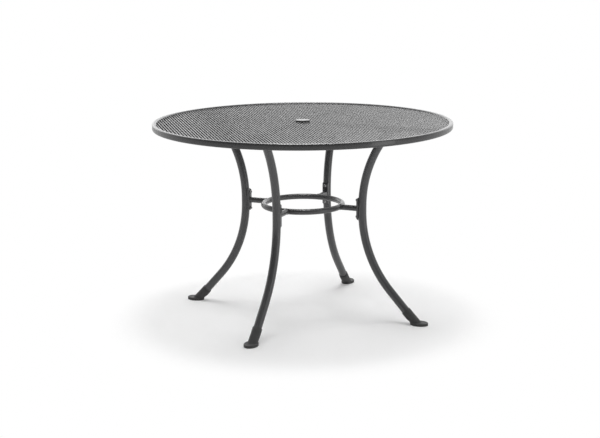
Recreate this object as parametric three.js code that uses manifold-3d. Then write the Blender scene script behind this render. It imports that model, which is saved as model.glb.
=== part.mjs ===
// Round garden table with a hole for a parasol pole, in powder-coated steel.
// Millimetres, +Z up. The origin is on the floor, under the middle of the table.
// The legs stand on the diagonals, so that leg 1 is between +X and +Y.

import * as THREE from "three";
import { mergeVertices } from "three/addons/utils/BufferGeometryUtils.js";
import Module from "manifold-3d";

const wasm = await Module();
wasm.setup();

// Table top
const TABLE_DIAMETER = 1100;
const TABLE_HEIGHT = 728; // floor to the top of the rim
const RIM_WIDTH = 15;
const RIM_DEPTH = 22.5;
const RIM_CORNER = 6.5;
const SHEET_THICKNESS = 2.5;
const SHEET_DROP = 4; // from the top of the rim down to the sheet's face, beside the rim
const SHEET_CROWN = 2; // rise of the sheet from the rim to the middle
const DIAMOND_LONG = 140;
const DIAMOND_SHORT = 65;
const STRAND_WIDTH = 12;
const DIAMOND_TURN = 57; // degrees from +X to the long way of the diamonds
const SHEET_BORDER = 7; // solid metal left round the edge and round the hole

// Cross bars and the collar that they meet
const BRACE_WIDTH = 25;
const BRACE_DEPTH = 12;
const BRACE_WALL = 1.5;
const COLLAR_DIAMETER = 50;
const COLLAR_WALL = 2.5;
const COLLAR_LENGTH = 45;

// Parasol bush and lid
const BUSH_BORE = 38;
const BUSH_WALL = 2.5;
const BUSH_FLANGE_DIAMETER = 52;
const BUSH_FLANGE = 2.2;
const BUSH_LENGTH = 26;
const BUSH_CHAMFER = 0.8;
const LID_DIAMETER = 51;
const LID_THICKNESS = 3;
const LID_CHAMFER = 1.2;
const LID_SKIRT = 12;
const LID_WALL = 2;
const LID_PLAY = 0.4;

// Legs
const LEG_TUBE = 30;
const LEG_WALL = 1.5;
const WAIST_RADIUS = 236.5; // from the middle of the table to the leg's axis, at the waist
const WAIST_STRAIGHT = 24;
const LEG_BEND = 430; // radius of both bends
const LEG_SPLAY = 42; // degrees from upright, in the lower stretch
const HEAD_SPLAY = 42; // degrees from upright, where the upper bend would end
const HEAD_PLATE_LENGTH = 92;
const HEAD_PLATE_WIDTH = 30;
const HEAD_PLATE_THICKNESS = 3;
const HEAD_BOLT_SPACING = 70;
const HEAD_BOLT_LENGTH = 12;
const HEX_WIDTH = 10;
const HEX_HEIGHT = 4;

// Foot caps
const SLEEVE_WALL = 2.2;
const SLEEVE_LENGTH = 66; // along the leg, from the floor to the step at its top
const SLEEVE_CHAMFER = 1.2;
const FOOT_LENGTH = 67;
const FOOT_WIDTH = 49;
const FOOT_THICKNESS = 11;
const FOOT_ROUND = 5;
const FOOT_CHAMFER = 1;
const FOOT_REACH = 8; // how far the foot's middle lies outside the leg's axis
const LEG_END = 20; // height of the tube's lower end in the cap, on its axis

// Stretcher
const SPOKE_LENGTH = 60; // from the ring to the bracket's face
const RING_TUBE = 21;
const RING_HEIGHT = 416; // the legs' waists are at the same height
const BRACKET_LENGTH = 85;
const BRACKET_WIDTH = 23;
const BRACKET_WALL = 2.5;
const BRACKET_SLANT = 6; // how much shorter the bracket's face is than its back, at each end
const BRACKET_STANDOFF = 5.5; // from the leg's tube to the bracket's face
const SCREW_SPACING = 62;

// Screws
const M6 = 6;
const SCREW_HEAD = 11;
const SCREW_HEAD_HEIGHT = 5;
const SOCKET_WIDTH = 4;
const SOCKET_DEPTH = 2.4;
const SCREW_GRIP = 6; // how far a bracket screw reaches into its leg
const HOLE_PLAY = 0.4;

// Fits
const GAP = 0.3; // between pieces that touch

// Fineness of curves
const RIM_STEPS = 64;
const RIM_CORNER_STEPS = 2;
const RING_STEPS = 36;
const TUBE_SIDES = 12;
const BRACE_STEPS = 4;
const SCREW_SIDES = 8;
const LEG_SIDES = 12;
const LEG_STEPS = 14;
const ROUND_STEPS = 20;

const rimRadius = TABLE_DIAMETER / 2;
const rimInside = rimRadius - RIM_WIDTH;
const sheetRadius = rimInside - GAP;
const sheetEdgeTop = TABLE_HEIGHT - SHEET_DROP;
const sheetHole = BUSH_BORE / 2 + BUSH_WALL + GAP;
const collarInside = COLLAR_DIAMETER / 2 - COLLAR_WALL;

const steel = { color: 0x4a4b4e, roughness: 0.5, metalness: 0.35 };
const plastic = { color: 0x3f4042, roughness: 0.6, metalness: 0 };
const zinc = { color: 0x55575a, roughness: 0.4, metalness: 0.8 };

const table = new THREE.Group();

// A closed geometry as a solid that can be cut; slivers at a pole are left out
function toSolid(geometry) {
  const bare = geometry.index ? geometry.toNonIndexed() : geometry.clone();
  bare.deleteAttribute("normal");
  bare.deleteAttribute("uv");
  const merged = mergeVertices(bare, 1e-4);
  const index = merged.index.array;
  const triVerts = [];
  for (let i = 0; i < index.length; i += 3) {
    const [a, b, c] = [index[i], index[i + 1], index[i + 2]];
    if (a !== b && b !== c && c !== a) triVerts.push(a, b, c);
  }
  const mesh = new wasm.Mesh({
    numProp: 3,
    vertProperties: new Float32Array(merged.attributes.position.array),
    triVerts: new Uint32Array(triVerts),
  });
  return new wasm.Manifold(mesh);
}

function toGeometry(solid) {
  const mesh = solid.getMesh();
  const geometry = new THREE.BufferGeometry();
  geometry.setAttribute("position", new THREE.BufferAttribute(new Float32Array(mesh.vertProperties), 3));
  geometry.setIndex(new THREE.BufferAttribute(new Uint32Array(mesh.triVerts), 1));
  geometry.computeVertexNormals();
  return geometry;
}

function cut(body, ...tools) {
  return tools.reduce((rest, tool) => rest.subtract(tool), body);
}

function place(name, shape, finish, parent = table) {
  const geometry = shape.isBufferGeometry ? shape : toGeometry(shape);
  const mesh = new THREE.Mesh(geometry, new THREE.MeshStandardMaterial(finish));
  mesh.name = name;
  parent.add(mesh);
  return mesh;
}

// A profile of radius and height, closed and turned about Z; it runs anticlockwise
function turned(points, steps = ROUND_STEPS) {
  const profile = [...points, points[0]].map(([radius, height]) => new THREE.Vector2(radius, height));
  const geometry = new THREE.LatheGeometry(profile, steps);
  geometry.rotateX(Math.PI / 2);
  return toSolid(geometry);
}

function roundBar(radius, low, high, steps = ROUND_STEPS) {
  const geometry = new THREE.CylinderGeometry(radius, radius, high - low, steps);
  geometry.rotateX(Math.PI / 2);
  geometry.translate(0, 0, (low + high) / 2);
  return geometry;
}

// A round bar as a solid, upright at a distance from the middle of the table
function upright(radius, low, high, distance, steps = SCREW_SIDES) {
  return toSolid(roundBar(radius, low, high, steps).translate(distance, 0, 0));
}

// A round bar as a solid, lying along X at a height
function level(radius, start, end, height, steps) {
  return toSolid(roundBar(radius, start, end, steps).rotateY(Math.PI / 2).translate(0, 0, height));
}

// A side profile in the X-Z plane, spread to both sides of it
function slab(shape, width, curveSegments = 8) {
  const geometry = new THREE.ExtrudeGeometry(shape, { depth: width, bevelEnabled: false, curveSegments });
  geometry.rotateX(Math.PI / 2);
  geometry.translate(0, width / 2, 0);
  return geometry;
}

function polygon(points) {
  return new THREE.Shape(points.map(([x, y]) => new THREE.Vector2(x, y)));
}

function disc(radius, sides) {
  const points = [];
  for (let i = 0; i < sides; i += 1) {
    const angle = (2 * Math.PI * i) / sides;
    points.push([radius * Math.cos(angle), radius * Math.sin(angle)]);
  }
  return polygon(points);
}

function fromCentre(degrees) {
  const arm = new THREE.Group();
  arm.rotation.z = THREE.MathUtils.degToRad(degrees);
  table.add(arm);
  return arm;
}

// The sheet's upper face, highest in the middle
function sheetTop(radius) {
  return sheetEdgeTop + SHEET_CROWN * (1 - (radius / sheetRadius) ** 2);
}

// Rim: a rounded rectangle rolled into a ring
function rim() {
  const half = RIM_WIDTH / 2;
  const middle = rimRadius - half;
  const low = TABLE_HEIGHT - RIM_DEPTH;
  const corners = [
    [half, TABLE_HEIGHT, 1, 1],
    [-half, TABLE_HEIGHT, -1, 1],
    [-half, low, -1, -1],
    [half, low, 1, -1],
  ];
  const points = [];
  corners.forEach(([x, z, sx, sz], index) => {
    for (let i = 0; i <= RIM_CORNER_STEPS; i += 1) {
      const angle = (Math.PI / 2) * (index + i / RIM_CORNER_STEPS);
      points.push([
        middle + x - sx * RIM_CORNER + RIM_CORNER * Math.cos(angle),
        z - sz * RIM_CORNER + RIM_CORNER * Math.sin(angle),
      ]);
    }
  });
  return turned(points, RIM_STEPS);
}

// Sheet: a pierced disc with a row of diamonds in every slit of the metal
function sheet() {
  const turn = THREE.MathUtils.degToRad(DIAMOND_TURN);
  const slope = Math.atan2(DIAMOND_SHORT, DIAMOND_LONG);
  const halfLong = DIAMOND_LONG / 2 - STRAND_WIDTH / 2 / Math.sin(slope);
  const halfShort = DIAMOND_SHORT / 2 - STRAND_WIDTH / 2 / Math.cos(slope);
  const reach = sheetRadius - SHEET_BORDER;
  const keepOut = BUSH_FLANGE_DIAMETER / 2 + SHEET_BORDER;
  const prisms = [];
  const across = Math.ceil((2 * sheetRadius) / DIAMOND_SHORT);
  const along = Math.ceil((2 * sheetRadius) / DIAMOND_LONG);
  for (let row = -across; row <= across; row += 1) {
    for (let column = -along; column <= along; column += 1) {
      const u = (column + (row % 2 ? 0.5 : 0)) * DIAMOND_LONG;
      const v = (row * DIAMOND_SHORT) / 2;
      const distance = Math.hypot(u, v);
      if (distance > reach || distance < keepOut + STRAND_WIDTH / 2) continue;
      const shape = polygon([
        [u + halfLong, v],
        [u, v + halfShort],
        [u - halfLong, v],
        [u, v - halfShort],
      ]);
      const geometry = new THREE.ExtrudeGeometry(shape, { depth: 3 * SHEET_THICKNESS, bevelEnabled: false });
      geometry.translate(0, 0, -SHEET_THICKNESS);
      geometry.rotateZ(turn);
      prisms.push(toSolid(geometry));
    }
  }
  const openings = wasm.Manifold.union(prisms)
    .intersect(toSolid(roundBar(reach, -2 * SHEET_THICKNESS, 3 * SHEET_THICKNESS, RIM_STEPS)))
    .subtract(toSolid(roundBar(keepOut, -2 * SHEET_THICKNESS, 3 * SHEET_THICKNESS)));
  const plate = cut(
    toSolid(roundBar(sheetRadius, 0, SHEET_THICKNESS, RIM_STEPS)),
    openings,
    toSolid(roundBar(sheetHole, -SHEET_THICKNESS, 2 * SHEET_THICKNESS)),
  );
  const geometry = toGeometry(plate);
  const position = geometry.attributes.position;
  for (let i = 0; i < position.count; i += 1) {
    const radius = Math.hypot(position.getX(i), position.getY(i));
    position.setZ(i, position.getZ(i) - SHEET_THICKNESS + sheetTop(radius));
  }
  geometry.computeVertexNormals();
  return geometry;
}

// Cross bar: a rectangular tube under the sheet, from the collar to the rim
function headBoltPlaces() {
  const middle = legHead();
  return [middle - HEAD_BOLT_SPACING / 2, middle + HEAD_BOLT_SPACING / 2];
}

function braceTop(radius) {
  return sheetTop(radius) - SHEET_THICKNESS - GAP;
}

function braceUnder(radius) {
  return braceTop(radius) - BRACE_DEPTH;
}

const braceInner = COLLAR_DIAMETER / 2 + GAP;
const braceOuter = Math.sqrt((rimInside * Math.cos(Math.PI / RIM_STEPS)) ** 2 - (BRACE_WIDTH / 2) ** 2) - GAP;

function brace() {
  const overrun = BRACE_WIDTH;
  const outline = (inset, start, end) => {
    const over = [];
    const under = [];
    for (let i = 0; i <= BRACE_STEPS; i += 1) {
      const radius = start + ((end - start) * i) / BRACE_STEPS;
      over.push([radius, braceTop(radius) - inset]);
      under.unshift([radius, braceUnder(radius) + inset]);
    }
    return polygon([...over, ...under]);
  };
  const tube = toSolid(slab(outline(0, braceInner, braceOuter), BRACE_WIDTH));
  const inside = slab(outline(BRACE_WALL, braceInner - overrun, braceOuter + overrun), BRACE_WIDTH - 2 * BRACE_WALL);
  const holes = headBoltPlaces().map((radius) => {
    const wall = braceUnder(radius);
    return upright(M6 / 2 + HOLE_PLAY, wall - BRACE_WALL, wall + 2 * BRACE_WALL, radius);
  });
  return cut(tube, toSolid(inside), ...holes);
}

// Collar: it hangs under the sheet and guides the parasol pole
const collarTop = braceTop(COLLAR_DIAMETER / 2);

function collar() {
  const low = collarTop - COLLAR_LENGTH;
  const outside = COLLAR_DIAMETER / 2;
  return turned([
    [collarInside, collarTop],
    [collarInside, low],
    [outside, low],
    [outside, collarTop],
  ]);
}

// Bush: a flanged ring whose skirt passes through the sheet into the collar
const bushSeat = sheetTop(0) + GAP;
const bushTop = bushSeat + BUSH_FLANGE;

function bush() {
  const bore = BUSH_BORE / 2;
  const skirt = bore + BUSH_WALL;
  const flange = BUSH_FLANGE_DIAMETER / 2;
  const low = bushTop - BUSH_LENGTH;
  return turned([
    [bore, bushTop],
    [bore, low],
    [skirt - BUSH_CHAMFER, low],
    [skirt, low + 2 * BUSH_CHAMFER],
    [skirt, bushSeat],
    [flange, bushSeat],
    [flange, bushTop - BUSH_CHAMFER],
    [flange - BUSH_CHAMFER, bushTop],
  ]);
}

// Lid: a disc with a rounded edge over a thin skirt that is open below
const lidSeat = bushTop + GAP;

function lid() {
  const edge = LID_DIAMETER / 2;
  const skirt = BUSH_BORE / 2 - LID_PLAY;
  const top = lidSeat + LID_THICKNESS;
  return turned([
    [0, top],
    [0, lidSeat],
    [skirt - LID_WALL, lidSeat],
    [skirt - LID_WALL, lidSeat - LID_SKIRT],
    [skirt, lidSeat - LID_SKIRT],
    [skirt, lidSeat],
    [edge, lidSeat],
    [edge, top - LID_CHAMFER],
    [edge - LID_CHAMFER, top],
  ]);
}

// Leg axis: an upright waist between two bends, and a straight splayed foot
const waistLow = RING_HEIGHT - WAIST_STRAIGHT / 2;
const waistHigh = RING_HEIGHT + WAIST_STRAIGHT / 2;
const bendCentre = WAIST_RADIUS + LEG_BEND;
const splay = THREE.MathUtils.degToRad(LEG_SPLAY);
const bendEnd = bendCentre - LEG_BEND * Math.cos(splay);
const bendEndHeight = waistLow - LEG_BEND * Math.sin(splay);
const footRadius = bendEnd + bendEndHeight * Math.tan(splay);
const headSplay = THREE.MathUtils.degToRad(HEAD_SPLAY);
const headBendEnd = bendCentre - LEG_BEND * Math.cos(headSplay);
const headBendHeight = waistHigh + LEG_BEND * Math.sin(headSplay);

// Distance of the leg's axis from the middle of the table, above the waist
function upperAxis(height) {
  const straight = height - headBendHeight;
  if (straight > 0) return headBendEnd + straight * Math.tan(headSplay);
  return bendCentre - Math.sqrt(LEG_BEND ** 2 - (height - waistHigh) ** 2);
}

function lowerAxis(height) {
  return footRadius - height * Math.tan(splay);
}

function headUnder(radius) {
  return braceUnder(radius) - GAP - HEAD_PLATE_THICKNESS;
}

function legHead() {
  const guess = upperAxis(headUnder(WAIST_RADIUS));
  return upperAxis(headUnder(guess) - GAP);
}

class LegAxis extends THREE.Curve {
  constructor(low, high) {
    super();
    this.path = new THREE.Path();
    this.path.moveTo(lowerAxis(low), low);
    this.path.lineTo(bendEnd, bendEndHeight);
    this.path.absarc(bendCentre, waistLow, LEG_BEND, Math.PI + splay, Math.PI, true);
    this.path.lineTo(WAIST_RADIUS, waistHigh);
    this.path.absarc(bendCentre, waistHigh, LEG_BEND, Math.PI, Math.PI - headSplay, true);
    this.path.lineTo(upperAxis(high), high);
  }

  getPoint(t, target = new THREE.Vector3()) {
    const point = this.path.getPoint(t);
    return target.set(point.x, 0, point.y);
  }
}

function bentBar(radius, low, high) {
  const extrudePath = new LegAxis(low, high);
  const section = disc(radius, LEG_SIDES);
  return toSolid(new THREE.ExtrudeGeometry(section, { steps: LEG_STEPS, extrudePath, bevelEnabled: false }));
}

// Leg: an open tube, cut level with its head plate, with two screw holes at the waist
function leg() {
  const past = LEG_TUBE / 3;
  const inner = LEG_TUBE / 2 - LEG_WALL;
  const top = Math.max(headUnder(0), headBendHeight) + LEG_TUBE;
  const tube = bentBar(LEG_TUBE / 2, LEG_END, top);
  const inside = bentBar(inner, LEG_END - past, top + past);
  const above = polygon([
    [0, plateUnder(0) - GAP],
    [TABLE_DIAMETER, plateUnder(TABLE_DIAMETER) - GAP],
    [TABLE_DIAMETER, 2 * top],
    [0, 2 * top],
  ]);
  const holes = screwHeights().map((height) =>
    level(M6 / 2 + HOLE_PLAY, WAIST_RADIUS - LEG_TUBE, WAIST_RADIUS, height, SCREW_SIDES),
  );
  return cut(tube, inside, toSolid(slab(above, 3 * LEG_TUBE)), ...holes);
}

// Head plate: welded to the leg's upper end, flat and a little aslant under the cross bar
function plateEnds() {
  return [legHead() - HEAD_PLATE_LENGTH / 2, legHead() + HEAD_PLATE_LENGTH / 2];
}

function plateUnder(radius) {
  const [start, end] = plateEnds();
  const slope = (headUnder(end) - headUnder(start)) / HEAD_PLATE_LENGTH;
  return headUnder(start) + slope * (radius - start);
}

function headPlate() {
  const [start, end] = plateEnds();
  const outline = polygon([
    [start, plateUnder(start)],
    [end, plateUnder(end)],
    [end, plateUnder(end) + HEAD_PLATE_THICKNESS],
    [start, plateUnder(start) + HEAD_PLATE_THICKNESS],
  ]);
  const holes = headBoltPlaces().map((radius) => {
    const under = plateUnder(radius);
    return upright(M6 / 2 + HOLE_PLAY, under - HEAD_PLATE_THICKNESS, under + 2 * HEAD_PLATE_THICKNESS, radius);
  });
  return cut(toSolid(slab(outline, HEAD_PLATE_WIDTH)), ...holes);
}

// Hexagon bolt: head below, shank upwards through plate and cross bar
function headBolt(radius) {
  const seat = plateUnder(radius) - GAP;
  const head = upright(HEX_WIDTH / Math.sqrt(3), seat - HEX_HEIGHT, seat, radius, 6);
  const shank = upright(M6 / 2, seat - HEX_HEIGHT / 2, seat + HEAD_BOLT_LENGTH, radius);
  return head.add(shank);
}

// Foot cap: a sleeve on the leg's end, grown out of a long flat foot
function footCap() {
  const sleeve = LEG_TUBE / 2 + GAP + SLEEVE_WALL;
  const below = FOOT_THICKNESS;
  const lean = (solid) => solid.rotate([0, -LEG_SPLAY, 0]).translate([footRadius, 0, 0]);
  const outside = lean(
    turned([
      [0, -below],
      [sleeve, -below],
      [sleeve, SLEEVE_LENGTH - SLEEVE_CHAMFER],
      [sleeve - SLEEVE_CHAMFER, SLEEVE_LENGTH],
      [0, SLEEVE_LENGTH],
    ]),
  );
  const floor = LEG_END / Math.cos(splay) - GAP;
  const socket = lean(toSolid(roundBar(LEG_TUBE / 2 + GAP, floor, 2 * SLEEVE_LENGTH, LEG_SIDES)));
  const half = FOOT_WIDTH / 2;
  const foot = turned([
    [0, 0],
    [half - FOOT_CHAMFER, 0],
    [half, FOOT_CHAMFER],
    [half, FOOT_THICKNESS - FOOT_ROUND],
    [half - 0.3 * FOOT_ROUND, FOOT_THICKNESS - 0.3 * FOOT_ROUND],
    [half - FOOT_ROUND, FOOT_THICKNESS],
    [0, FOOT_THICKNESS],
  ])
    .scale([FOOT_LENGTH / FOOT_WIDTH, 1, 1])
    .translate([footRadius + FOOT_REACH, 0, 0]);
  const ground = upright(3 * FOOT_LENGTH, -3 * FOOT_LENGTH, 0, footRadius);
  return foot.add(outside.subtract(ground)).subtract(socket);
}

// Stretcher: a ring of round tube with a coped spoke to each bracket
const bracketFace = WAIST_RADIUS - LEG_TUBE / 2 - BRACKET_STANDOFF;
const ringRadius = bracketFace - SPOKE_LENGTH - RING_TUBE / 2;

function ring(tube) {
  return toSolid(new THREE.TorusGeometry(ringRadius, tube, TUBE_SIDES, RING_STEPS).translate(0, 0, RING_HEIGHT));
}

function spoke() {
  const start = ringRadius + RING_TUBE / 8;
  const bar = level(RING_TUBE / 2, start, bracketFace - GAP, RING_HEIGHT, TUBE_SIDES);
  return bar.subtract(ring(RING_TUBE / 2 + GAP));
}

function screwHeights() {
  return [RING_HEIGHT + SCREW_SPACING / 2, RING_HEIGHT - SCREW_SPACING / 2];
}

// Bracket: a channel, open towards the leg, with slanted ends
function bracket() {
  const cheek = BRACKET_WIDTH / 2 - BRACKET_WALL;
  const back = WAIST_RADIUS - Math.sqrt((LEG_TUBE / 2) ** 2 - cheek ** 2) - GAP;
  const low = RING_HEIGHT - BRACKET_LENGTH / 2;
  const high = RING_HEIGHT + BRACKET_LENGTH / 2;
  const profile = polygon([
    [bracketFace, low + BRACKET_SLANT],
    [back, low],
    [back, high],
    [bracketFace, high - BRACKET_SLANT],
  ]);
  const channel = toSolid(slab(profile, BRACKET_WIDTH));
  const past = BRACKET_LENGTH;
  const hollow = polygon([
    [bracketFace + BRACKET_WALL, low - past],
    [back + past, low - past],
    [back + past, high + past],
    [bracketFace + BRACKET_WALL, high + past],
  ]);
  const holes = screwHeights().map((height) =>
    level(M6 / 2 + HOLE_PLAY, bracketFace - BRACKET_WALL, bracketFace + 2 * BRACKET_WALL, height, SCREW_SIDES),
  );
  return cut(channel, toSolid(slab(hollow, 2 * cheek)), ...holes);
}

// Socket button-head screw, lying along X with its head towards the middle
function bracketScrew(height) {
  const seat = bracketFace - GAP;
  const head = SCREW_HEAD / 2;
  const tip = WAIST_RADIUS - LEG_TUBE / 2 + SCREW_GRIP;
  const top = -SCREW_HEAD_HEIGHT;
  const body = turned(
    [
      [0, top],
      [0.55 * head, top],
      [0.85 * head, 0.7 * top],
      [head, 0.25 * top],
      [head, 0],
      [M6 / 2, 0],
      [M6 / 2, tip - seat],
      [0, tip - seat],
    ],
    SCREW_SIDES,
  );
  const socket = toSolid(roundBar(SOCKET_WIDTH / Math.sqrt(3), 2 * top, top + SOCKET_DEPTH, 6));
  return body.subtract(socket).rotate([0, 90, 0]).translate([seat, 0, height]);
}

place("rim_tube", rim(), steel);
place("mesh_top", sheet(), steel);
place("pole_collar", collar(), steel);
place("parasol_bush", bush(), plastic);
place("parasol_lid", lid(), plastic);
place("stretcher_ring", ring(RING_TUBE / 2), steel);

for (let corner = 1; corner <= 4; corner += 1) {
  const arm = fromCentre(90 * corner - 45);
  place(`brace_${corner}`, brace(), steel, arm);
  place(`leg_${corner}`, leg(), steel, arm);
  place(`head_plate_${corner}`, headPlate(), steel, arm);
  place(`foot_cap_${corner}`, footCap(), plastic, arm);
  place(`spoke_${corner}`, spoke(), steel, arm);
  place(`leg_bracket_${corner}`, bracket(), steel, arm);
  headBoltPlaces().forEach((radius, index) => {
    place(`head_bolt_${corner}${"ab"[index]}`, headBolt(radius), zinc, arm);
  });
  screwHeights().forEach((height, index) => {
    place(`bracket_screw_${corner}${"ab"[index]}`, bracketScrew(height), zinc, arm);
  });
}

export default table;
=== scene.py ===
# %% [markdown]
# # A round garden table with a parasol hole
#
# The real table is welded from steel tube and dipped in dark grey powder coat. A sheet of expanded metal
# fills a rolled rim, four bowed legs stand on moulded feet, and a small ring of tube ties their waists
# together. Each cell below makes one piece or one finish. All lengths are metres, as Blender counts them.

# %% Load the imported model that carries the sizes
import math

import bmesh
import bpy
from mathutils import Matrix, Vector


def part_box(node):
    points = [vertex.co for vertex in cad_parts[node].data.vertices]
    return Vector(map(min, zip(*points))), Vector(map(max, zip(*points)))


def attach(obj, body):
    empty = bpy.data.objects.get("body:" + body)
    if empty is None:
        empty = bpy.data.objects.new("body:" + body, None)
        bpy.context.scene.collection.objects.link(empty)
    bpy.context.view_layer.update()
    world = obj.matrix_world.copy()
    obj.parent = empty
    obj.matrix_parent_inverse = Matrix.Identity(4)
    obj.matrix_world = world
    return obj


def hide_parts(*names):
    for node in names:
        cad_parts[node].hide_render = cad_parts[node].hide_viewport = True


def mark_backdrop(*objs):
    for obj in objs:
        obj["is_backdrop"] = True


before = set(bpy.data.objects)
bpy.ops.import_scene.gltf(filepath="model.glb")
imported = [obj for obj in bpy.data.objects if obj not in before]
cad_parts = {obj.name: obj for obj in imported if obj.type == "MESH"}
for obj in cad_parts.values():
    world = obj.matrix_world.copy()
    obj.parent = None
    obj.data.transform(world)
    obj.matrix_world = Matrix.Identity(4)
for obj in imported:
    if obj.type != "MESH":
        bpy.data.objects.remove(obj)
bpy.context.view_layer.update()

# %% [markdown]
# The photograph shows the table from a little above its top, with a long lens that keeps the rim's ellipse
# flat. The camera was worked out from that ellipse, the stretcher ring and the feet. Its place is given by
# its azimuth round the table, its distance and its height, and its view by a pitch, a yaw and a small roll.

# %% Camera
IMAGE_WIDTH = 600
FOCAL_PIXELS = 1300
SENSOR_WIDTH = 36.0
VIEW_DEPTH = 60
CAMERA_AZIMUTH = math.radians(-111.6)
CAMERA_DISTANCE = 4.7423
CAMERA_HEIGHT = 1.3915
CAMERA_PITCH = 0.21446
CAMERA_YAW = -0.00238
CAMERA_ROLL = 0.00603


def photo_camera():
    data = bpy.data.cameras.new("photo_camera")
    data.sensor_width = SENSOR_WIDTH
    data.lens = FOCAL_PIXELS / IMAGE_WIDTH * SENSOR_WIDTH
    data.clip_end = VIEW_DEPTH
    camera = bpy.data.objects.new("photo_camera", data)
    bpy.context.scene.collection.objects.link(camera)
    x = CAMERA_DISTANCE * math.cos(CAMERA_AZIMUTH)
    y = CAMERA_DISTANCE * math.sin(CAMERA_AZIMUTH)
    place = Matrix.Translation((x, y, CAMERA_HEIGHT))
    heading = Matrix.Rotation(CAMERA_AZIMUTH + math.pi / 2 - CAMERA_YAW, 4, "Z")
    pitch = Matrix.Rotation(math.pi / 2 - CAMERA_PITCH, 4, "X")
    roll = Matrix.Rotation(-CAMERA_ROLL, 4, "Z")
    camera.matrix_world = place @ heading @ pitch @ roll
    bpy.context.scene.camera = camera
    return camera


camera = photo_camera()
print("camera", [round(value, 3) for value in camera.location], "lens", round(camera.data.lens, 2))

# %% [markdown]
# Shader nodes do arithmetic with one Math node for each sign. Written out by hand that buries the idea, so
# a small class stands for a node's output and lets Python's own signs add the nodes. A finish holds one
# material's node tree and makes every other node with one method.


# %% Arithmetic on shader sockets
class Signal:
    """The output of a shader node, with signs that add Math nodes."""

    def __init__(self, finish, socket):
        self.finish = finish
        self.socket = socket

    def math(self, operation, left, right):
        return self.finish.node("ShaderNodeMath", {"operation": operation}, {0: left, 1: right})

    def __add__(self, other):
        return self.math("ADD", self, other)

    def __radd__(self, other):
        return self.math("ADD", other, self)

    def __sub__(self, other):
        return self.math("SUBTRACT", self, other)

    def __rsub__(self, other):
        return self.math("SUBTRACT", other, self)

    def __mul__(self, other):
        return self.math("MULTIPLY", self, other)

    def __rmul__(self, other):
        return self.math("MULTIPLY", other, self)


class Finish:
    """One node tree, of a material or of the world."""

    def __init__(self, owner):
        self.owner = owner
        owner.use_nodes = True
        self.tree = owner.node_tree
        self.tree.nodes.clear()

    def node(self, kind, settings=None, values=None, output=0):
        made = self.tree.nodes.new(kind)
        for key, value in (settings or {}).items():
            setattr(made, key, value)
        for key, value in (values or {}).items():
            if isinstance(value, Signal):
                self.tree.links.new(value.socket, made.inputs[key])
            else:
                made.inputs[key].default_value = value
        return Signal(self, made.outputs[output]) if len(made.outputs) else None


print("shader helpers are ready")

# %% [markdown]
# All finishes on this table share a few steps. Noise on a piece's own coordinates gives them their speckle,
# a mix of two greys turns it into colour, a bump turns it into relief, and one shader closes the tree.

# %% Steps that the finishes share
# A Mix node has sockets for every type of data, and these are the numbers of the ones for colours.
FIRST_COLOUR = 6
SECOND_COLOUR = 7
MIXED_COLOUR = 2


def grey(level, tint=1.0):
    """A nearly neutral colour that leans to blue where tint is over 1."""
    return (level, level, level * tint, 1.0)


def noise(finish, scale, detail):
    place = finish.node("ShaderNodeTexCoord", output="Object")
    return finish.node("ShaderNodeTexNoise", values={"Vector": place, "Scale": scale, "Detail": detail})


def mottled(finish, factor, level, spread, tint=1.0):
    """A grey that goes from darker to lighter than its level by a share of it."""
    darker = grey(level * (1 - spread), tint)
    lighter = grey(level * (1 + spread), tint)
    values = {"Factor": factor, FIRST_COLOUR: darker, SECOND_COLOUR: lighter}
    return finish.node("ShaderNodeMix", {"data_type": "RGBA"}, values, output=MIXED_COLOUR)


def bumped(finish, height, strength, distance):
    values = {"Strength": strength, "Distance": distance, "Height": height}
    return finish.node("ShaderNodeBump", values=values)


def surface(finish, values):
    """Close the tree with one shader and give back its material."""
    shader = finish.node("ShaderNodeBsdfPrincipled", values=values)
    finish.node("ShaderNodeOutputMaterial", values={"Surface": shader})
    return finish.owner


print("shared steps are ready")

# %% [markdown]
# Powder coat is not a flat colour. It levels out with a fine orange-peel skin, it carries a little metal
# flake, and it clouds a little where it lies thicker. A clear second layer gives the shine that the real
# coat has at a glancing angle. The real table has one coat all over, and the three copies below differ in
# grey only as painted light and shade: the tubes have the palest grey, the rim a darker one and the sheet
# the darkest. The rim's coat is also smoother, and the sheet's has the most shine and hardly any peel on
# its thin strands.

# %% Powder coat
SKIN_SCALE = 420.0
FLAKE_SCALE = 2600.0
CLOUD_SCALE = 9.0
FLAKE_SHARE = 0.65
COAT_SPREAD = 0.18
COAT_TINT = 1.03
COAT_METAL = 0.25
COAT_CLOUDING = 0.10
COAT_BUMP = 0.35
TUBE_PEEL = 0.00012
MESH_PEEL = 0.00003


def powder_coat(name, level, roughness, shine, gloss, peel=TUBE_PEEL):
    finish = Finish(bpy.data.materials.new(name))
    skin = noise(finish, SKIN_SCALE, detail=2.0)
    flake = noise(finish, FLAKE_SCALE, detail=1.0)
    cloud = noise(finish, CLOUD_SCALE, detail=3.0)
    paler = cloud * (1 - FLAKE_SHARE) + flake * FLAKE_SHARE
    values = {
        "Base Color": mottled(finish, paler, level, COAT_SPREAD, COAT_TINT),
        "Roughness": cloud * COAT_CLOUDING + (roughness - COAT_CLOUDING / 2),
        "Metallic": COAT_METAL,
        "Coat Weight": shine,
        "Coat Roughness": gloss,
        "Normal": bumped(finish, skin, COAT_BUMP, peel),
    }
    return surface(finish, values)


# One coat in three greys: the levels differ only as painted light and shade, not as different paint.
tube_coat = powder_coat("tube_coat", level=0.066, roughness=0.46, shine=0.35, gloss=0.12)
rim_coat = powder_coat("rim_coat", level=0.040, roughness=0.42, shine=0.38, gloss=0.10)
mesh_coat = powder_coat("mesh_coat", level=0.036, roughness=0.50, shine=0.54, gloss=0.14, peel=MESH_PEEL)
print("powder coats", tube_coat.name, rim_coat.name, mesh_coat.name)

# %% [markdown]
# The feet, the bush and the lid are moulded plastic with a fine spark-eroded grain and faint flow clouds.
# It is duller than the coat on the feet and the bush, and has a polish on the lid. The screws and bolts are
# plated steel, tumbled, so that a very fine grain varies their colour and their shine.

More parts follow.
